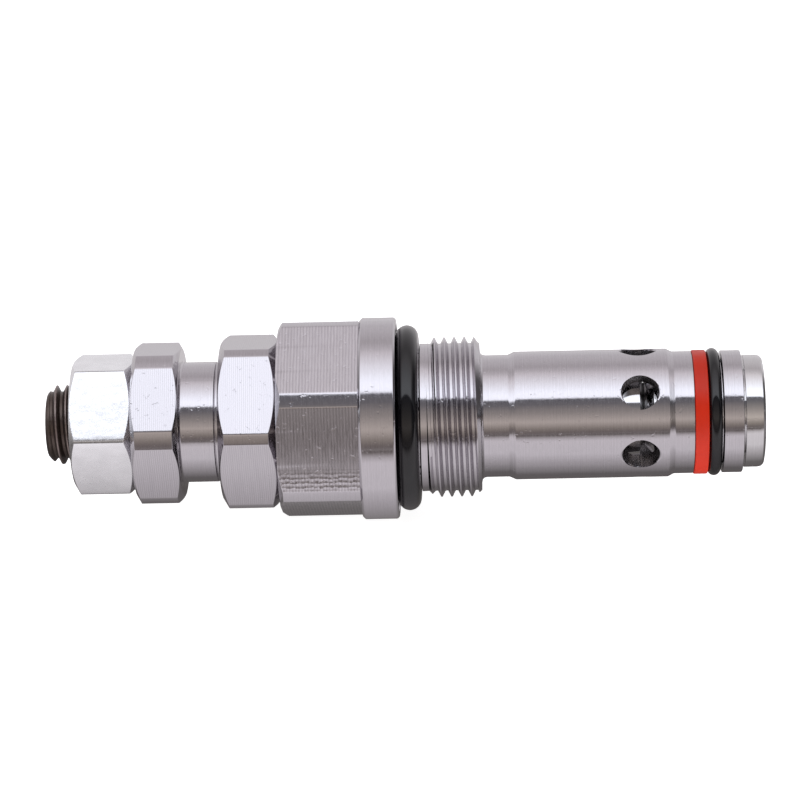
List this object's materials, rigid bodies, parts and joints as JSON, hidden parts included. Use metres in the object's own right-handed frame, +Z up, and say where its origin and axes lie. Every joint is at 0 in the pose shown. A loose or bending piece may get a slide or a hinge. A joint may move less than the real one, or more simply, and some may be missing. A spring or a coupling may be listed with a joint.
{
  "type": "relief valve cartridge",
  "caption": "Screw-in two-stage relief valve cartridge with two locked pressure adjusters, collar, cavity thread and drilled sleeve.",
  "frame": {"origin": "centre of the collar's sealing face, on the valve's axis", "axes": "+X along the axis from the adjusters to the inlet nose, +Z up as the valve lies"},
  "size_m": [0.1066, 0.03, 0.03],
  "materials": {
    "turned_steel": "turned and milled bright steel, satin",
    "hardened_steel": "hardened and ground steel",
    "zinc_plate": "bright zinc plate on forged steel",
    "black_oxide": "black oxide on rolled threads, worn bright at the crests",
    "nitrile": "moulded nitrile rubber, satin",
    "backup_orange": "moulded polyurethane, orange",
    "spring_steel": "drawn and tempered spring wire"
  },
  "bodies": {
    "body": {"valve_body": "turned_steel", "collar_o_ring": "nitrile", "nose_backup_ring": "backup_orange", "nose_o_ring": "nitrile", "main_seat": "hardened_steel", "main_spring": "spring_steel", "pilot_seat": "hardened_steel", "pilot_seat_o_ring": "nitrile"},
    "main_poppet": {"main_poppet": "hardened_steel", "damping_orifice": "hardened_steel"},
    "pilot_poppet": {"pilot_poppet": "hardened_steel"},
    "adjuster_travel": {"adjuster_o_ring": "nitrile"},
    "adjuster": {"adjuster": "turned_steel"},
    "adjuster_lock_nut": {"adjuster_lock_nut": "turned_steel"},
    "boost_piston": {"boost_piston": "hardened_steel", "boost_piston_o_ring": "nitrile", "pilot_spring": "spring_steel"},
    "screw_travel": {"adjusting_screw_o_ring": "nitrile"},
    "adjusting_screw": {"adjusting_screw": "black_oxide"},
    "screw_lock_nut": {"screw_lock_nut": "zinc_plate"}
  },
  "joints": [
    {"name": "main_poppet_lift", "type": "slide", "parent": "body", "child": "main_poppet", "axis": [-1, 0, 0], "range_m": [0, 0.003], "stiffness_N_per_m": 3000, "deforming": ["main_spring"]},
    {"name": "pilot_poppet_lift", "type": "slide", "parent": "body", "child": "pilot_poppet", "axis": [-1, 0, 0], "range_m": [0, 0.001], "stiffness_N_per_m": 60000, "deforming": ["pilot_spring"]},
    {"name": "adjuster_advance", "type": "slide", "parent": "body", "child": "adjuster_travel", "axis": [1, 0, 0], "range_m": [-0.00151, 0.00151]},
    {"name": "adjuster_turn", "type": "hinge", "parent": "adjuster_travel", "child": "adjuster", "pos_m": [0, 0, 0], "axis": [1, 0, 0], "range_deg": [-360, 360]},
    {"name": "adjuster_lock_nut_turn", "type": "hinge", "parent": "body", "child": "adjuster_lock_nut", "pos_m": [0, 0, 0], "axis": [1, 0, 0], "range_deg": [-90, 0]},
    {"name": "boost_piston_stroke", "type": "slide", "parent": "adjuster", "child": "boost_piston", "axis": [1, 0, 0], "range_m": [0, 0.0024], "stiffness_N_per_m": 60000},
    {"name": "adjusting_screw_advance", "type": "slide", "parent": "adjuster", "child": "screw_travel", "axis": [1, 0, 0], "range_m": [-0.00301, 0.00001]},
    {"name": "adjusting_screw_turn", "type": "hinge", "parent": "screw_travel", "child": "adjusting_screw", "pos_m": [0, 0, 0], "axis": [1, 0, 0], "range_deg": [-720, 0]},
    {"name": "screw_lock_nut_turn", "type": "hinge", "parent": "adjuster", "child": "screw_lock_nut", "pos_m": [0, 0, 0], "axis": [1, 0, 0], "range_deg": [-90, 0]}
  ],
  "couplings": [
    {"joint": "adjuster_advance", "follows": "adjuster_turn", "m_per_rad": 0.00023873},
    {"joint": "adjusting_screw_advance", "follows": "adjusting_screw_turn", "m_per_rad": 0.00023873}
  ]
}
